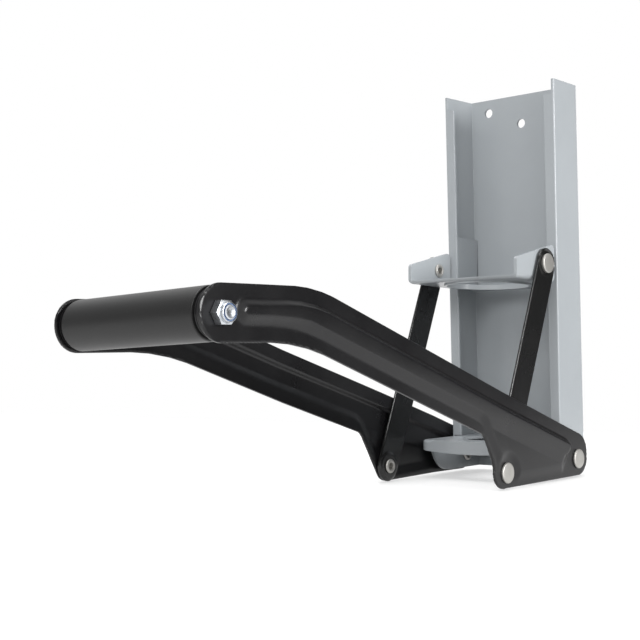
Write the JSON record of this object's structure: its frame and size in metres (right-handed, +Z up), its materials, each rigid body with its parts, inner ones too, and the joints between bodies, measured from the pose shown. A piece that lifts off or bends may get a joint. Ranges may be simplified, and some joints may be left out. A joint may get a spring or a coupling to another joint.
{
  "type": "wall mounted can crusher",
  "caption": "Wall mounted lever can crusher: a folded channel with a base plate, a sliding ring ram, two links and a two armed handle with a round grip.",
  "frame": {"origin": "on the plane of the channel's back, midway between its sides and level with the lever's pivot rivets", "axes": "+Y into the wall, -Y towards the user, +Z up, +X to the right seen from the front"},
  "size_m": [0.1379, 0.4284, 0.3102],
  "materials": {
    "grey_paint": "light blue grey semi gloss paint on folded steel",
    "black_coat": "black semi gloss powder coat",
    "black_grip": "matt black sleeve",
    "rivet_steel": "matt nickel plated steel",
    "zinc_steel": "bright zinc plated steel",
    "nut_nylon": "pale blue nylon"
  },
  "bodies": {
    "channel": {"back_channel": "grey_paint", "base_plate": "grey_paint", "pivot_rivet_left": "rivet_steel", "pivot_rivet_right": "rivet_steel", "pivot_spacer_left": "zinc_steel", "pivot_spacer_right": "zinc_steel"},
    "lever": {"lever_arm_left": "black_coat", "lever_arm_right": "black_coat", "handle_grip": "black_grip", "handle_tube": "zinc_steel", "handle_washer_left": "black_coat", "handle_washer_right": "black_coat", "handle_bolt": "zinc_steel", "handle_nut": "zinc_steel", "nut_insert": "nut_nylon", "link_rivet_head_left": "rivet_steel", "link_rivet_head_right": "rivet_steel"},
    "ram": {"ram_plate": "grey_paint", "ram_rivet_left": "rivet_steel", "ram_rivet_right": "rivet_steel"},
    "links": {"link_left": "black_coat", "link_right": "black_coat", "link_rivet_tail_left": "rivet_steel", "link_rivet_tail_right": "rivet_steel"}
  },
  "joints": [
    {"name": "lever_hinge", "type": "hinge", "parent": "channel", "child": "lever", "pos_m": [0, -0.0205, 0], "axis": [-1, 0, 0], "range_deg": [0, 55]},
    {"name": "ram_slide", "type": "slide", "parent": "channel", "child": "ram", "axis": [0, 0, 1], "range_m": [0, 0.0968]},
    {"name": "link_hinge", "type": "hinge", "parent": "ram", "child": "links", "pos_m": [0, -0.0561, 0.15088], "axis": [1, 0, 0], "range_deg": [0, 14.9]}
  ],
  "couplings": [
    {"joint": "ram_slide", "follows": "lever_hinge", "m_per_rad": 0.10073},
    {"joint": "link_hinge", "follows": "lever_hinge", "ratio": 0.26992}
  ]
}
